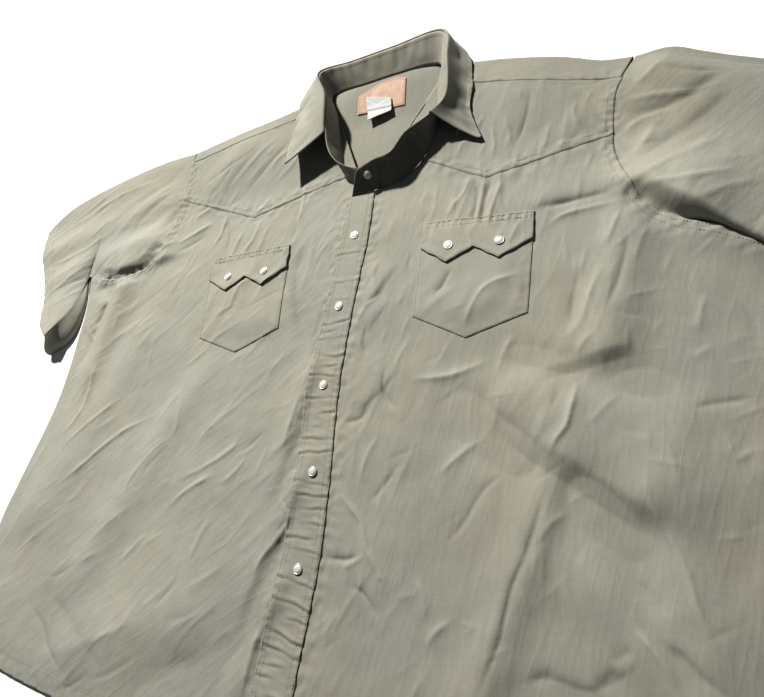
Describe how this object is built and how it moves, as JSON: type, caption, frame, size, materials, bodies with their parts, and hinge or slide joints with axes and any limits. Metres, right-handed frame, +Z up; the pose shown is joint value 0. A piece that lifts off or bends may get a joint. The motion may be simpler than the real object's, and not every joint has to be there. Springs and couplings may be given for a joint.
{
  "type": "western snap shirt",
  "caption": "Short-sleeved western shirt laid flat: pointed yokes, snapped placket, chest pockets with two-point flaps, standing collar with a turned leaf.",
  "frame": {"origin": "centre of the garment's box, on the surface it lies on", "axes": "+Z up, out of the front; +Y towards the collar; +X towards the wearer's left"},
  "size_m": [1.1862, 0.8398, 0.0501],
  "materials": {
    "shirting": "plain weave, soft sheen",
    "pearl_snap": "pearl cap in a metal rim",
    "label": "woven, bare",
    "tag": "woven, bare"
  },
  "bodies": {
    "root": {"back_panel": "shirting", "back_yoke": "shirting", "front_right": "shirting", "front_left": "shirting", "front_yoke_right": "shirting", "front_yoke_left": "shirting", "placket": "shirting", "sleeve_right": "shirting", "sleeve_left": "shirting", "collar_stand": "shirting", "collar_leaf": "shirting", "pocket_right": "shirting", "pocket_left": "shirting", "flap_right": "shirting", "flap_left": "shirting", "snap_placket_1": "pearl_snap", "snap_placket_2": "pearl_snap", "snap_placket_3": "pearl_snap", "snap_placket_4": "pearl_snap", "snap_placket_5": "pearl_snap", "snap_neck": "pearl_snap", "snap_flap_right_inner": "pearl_snap", "snap_flap_right_outer": "pearl_snap", "snap_flap_left_inner": "pearl_snap", "snap_flap_left_outer": "pearl_snap", "neck_label": "label", "size_tag": "tag"}
  },
  "joints": []
}
